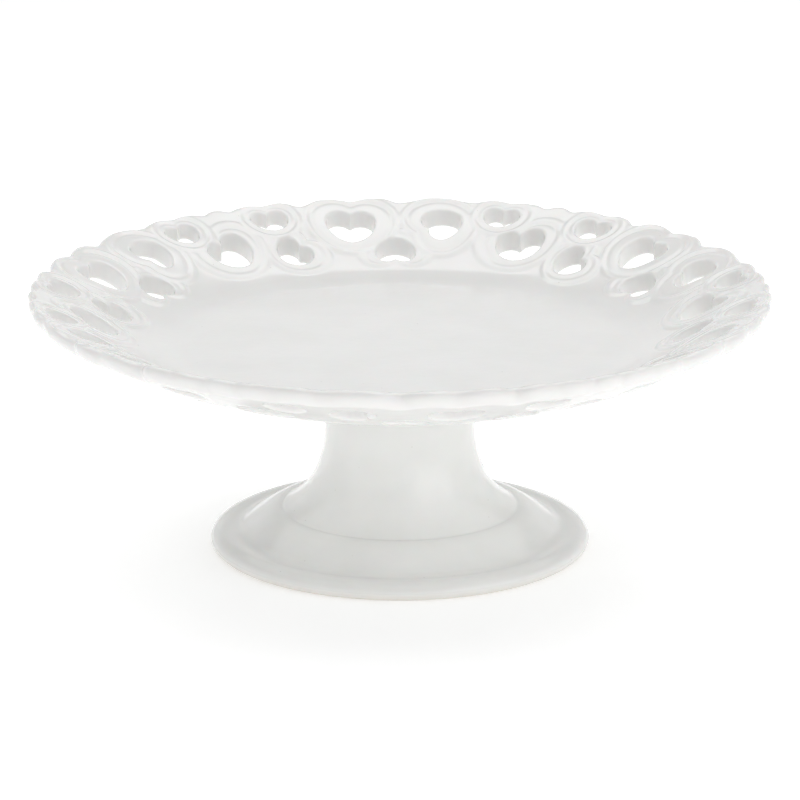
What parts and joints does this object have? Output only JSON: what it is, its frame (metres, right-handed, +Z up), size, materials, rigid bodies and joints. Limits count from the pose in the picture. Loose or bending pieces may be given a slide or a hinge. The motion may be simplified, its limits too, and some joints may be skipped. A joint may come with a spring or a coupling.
{
  "type": "cake stand",
  "caption": "Footed cake stand of white glazed porcelain: a shallow round plate with a pierced, scalloped rim of overlapping hearts on a hollow flared pedestal.",
  "frame": {"origin": "on the table, under the centre of the foot", "axes": "+Z up along the stand's axis, which is an axis of sixfold rotation; +X points between two of the rim's six repeats"},
  "size_m": [0.2998, 0.299, 0.108],
  "materials": {
    "plate_glaze": "glossy white glaze",
    "pedestal_glaze": "glossy off-white glaze with fine specks",
    "bond_cement": "matt ceramic cement"
  },
  "bodies": {
    "root": {"plate": "plate_glaze", "pedestal": "pedestal_glaze", "bond_ring": "bond_cement"}
  },
  "joints": []
}
